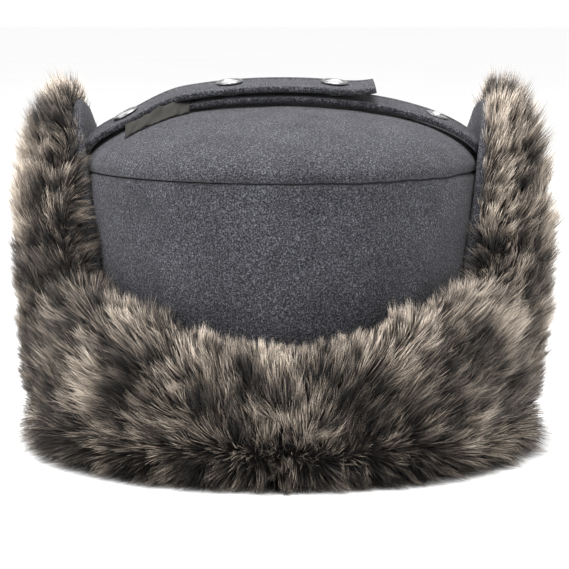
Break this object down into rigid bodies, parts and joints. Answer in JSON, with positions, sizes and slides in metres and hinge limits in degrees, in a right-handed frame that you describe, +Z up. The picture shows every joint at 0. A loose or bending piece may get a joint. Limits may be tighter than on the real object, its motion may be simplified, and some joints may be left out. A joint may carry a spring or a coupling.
{
  "type": "trapper hat",
  "caption": "Trapper hat with a round wool crown, a turned-up fur cuff of ear, neck and front flaps, and two snap straps over the crown.",
  "frame": {"origin": "centre of the bounding box at the level the hat stands on", "axes": "+Y towards the hat's front, +X towards the wearer's right, +Z up through the crown"},
  "size_m": [0.2654, 0.2992, 0.1792],
  "materials": {
    "melton_wool": "matte",
    "strap_wool": "matte",
    "faux_fur": "matte",
    "lining": "satin",
    "batting": "matte",
    "sweatband": "matte",
    "snap_metal": "satin",
    "tape": "matte",
    "label": "matte"
  },
  "bodies": {
    "crown": {"crown_tip": "melton_wool", "crown_band_back": "melton_wool", "crown_band_front": "melton_wool", "tip_batting": "batting", "band_batting": "batting", "lining_tip": "lining", "lining_band": "lining", "sweatband": "sweatband", "blank_label": "label", "front_facing": "melton_wool", "front_batting": "batting", "front_fur": "faux_fur"},
    "left_ear": {"left_ear_facing": "melton_wool", "left_ear_batting": "batting", "left_ear_fur": "faux_fur"},
    "right_ear": {"right_ear_facing": "melton_wool", "right_ear_batting": "batting", "right_ear_fur": "faux_fur"},
    "neck": {"neck_facing": "melton_wool", "neck_batting": "batting", "neck_fur": "faux_fur"},
    "left_gusset": {"left_gusset_facing": "melton_wool", "left_gusset_batting": "batting", "left_gusset_fur": "faux_fur"},
    "right_gusset": {"right_gusset_facing": "melton_wool", "right_gusset_batting": "batting", "right_gusset_fur": "faux_fur"},
    "left_strap_body": {"left_strap": "strap_wool", "snap_cap_left_1": "snap_metal", "snap_socket_left_1": "snap_metal", "snap_cap_left_2": "snap_metal", "snap_socket_left_2": "snap_metal", "snap_cap_left_3": "snap_metal", "snap_socket_left_3": "snap_metal"},
    "right_strap_body": {"right_strap": "strap_wool", "tape_tab": "tape", "snap_stud_right_1": "snap_metal", "snap_post_right_1": "snap_metal", "snap_stud_right_2": "snap_metal", "snap_post_right_2": "snap_metal", "snap_stud_right_3": "snap_metal", "snap_post_right_3": "snap_metal"}
  },
  "joints": [
    {"name": "left_ear_fold", "type": "hinge", "parent": "crown", "child": "left_ear", "pos_m": [-0.09, 0, 0.004], "axis": [0, -1, 0], "range_deg": [0, 150]},
    {"name": "right_ear_fold", "type": "hinge", "parent": "crown", "child": "right_ear", "pos_m": [0.09, 0, 0.004], "axis": [0, 1, 0], "range_deg": [0, 150]},
    {"name": "neck_fold", "type": "hinge", "parent": "crown", "child": "neck", "pos_m": [0, -0.111, 0.004], "axis": [1, 0, 0], "range_deg": [0, 150]},
    {"name": "left_gusset_fold", "type": "hinge", "parent": "crown", "child": "left_gusset", "pos_m": [-0.06421, -0.07778, 0.004], "axis": [0.623, -0.7822, 0], "range_deg": [0, 150], "deforming": ["left_gusset_facing", "left_gusset_batting", "left_gusset_fur"]},
    {"name": "right_gusset_fold", "type": "hinge", "parent": "crown", "child": "right_gusset", "pos_m": [0.06421, -0.07778, 0.004], "axis": [0.623, 0.7822, 0], "range_deg": [0, 150], "deforming": ["right_gusset_facing", "right_gusset_batting", "right_gusset_fur"]},
    {"name": "left_strap_swing", "type": "hinge", "parent": "left_ear", "child": "left_strap_body", "pos_m": [-0.0954, -0.018, 0.14459], "axis": [0, -1, 0], "range_deg": [0, 50], "deforming": ["left_strap"]},
    {"name": "right_strap_swing", "type": "hinge", "parent": "right_ear", "child": "right_strap_body", "pos_m": [0.0954, -0.018, 0.14459], "axis": [0, 1, 0], "range_deg": [0, 54], "deforming": ["right_strap", "tape_tab"]}
  ],
  "couplings": [
    {"joint": "left_gusset_fold", "follows": "neck_fold", "ratio": 1},
    {"joint": "right_gusset_fold", "follows": "neck_fold", "ratio": 1}
  ]
}
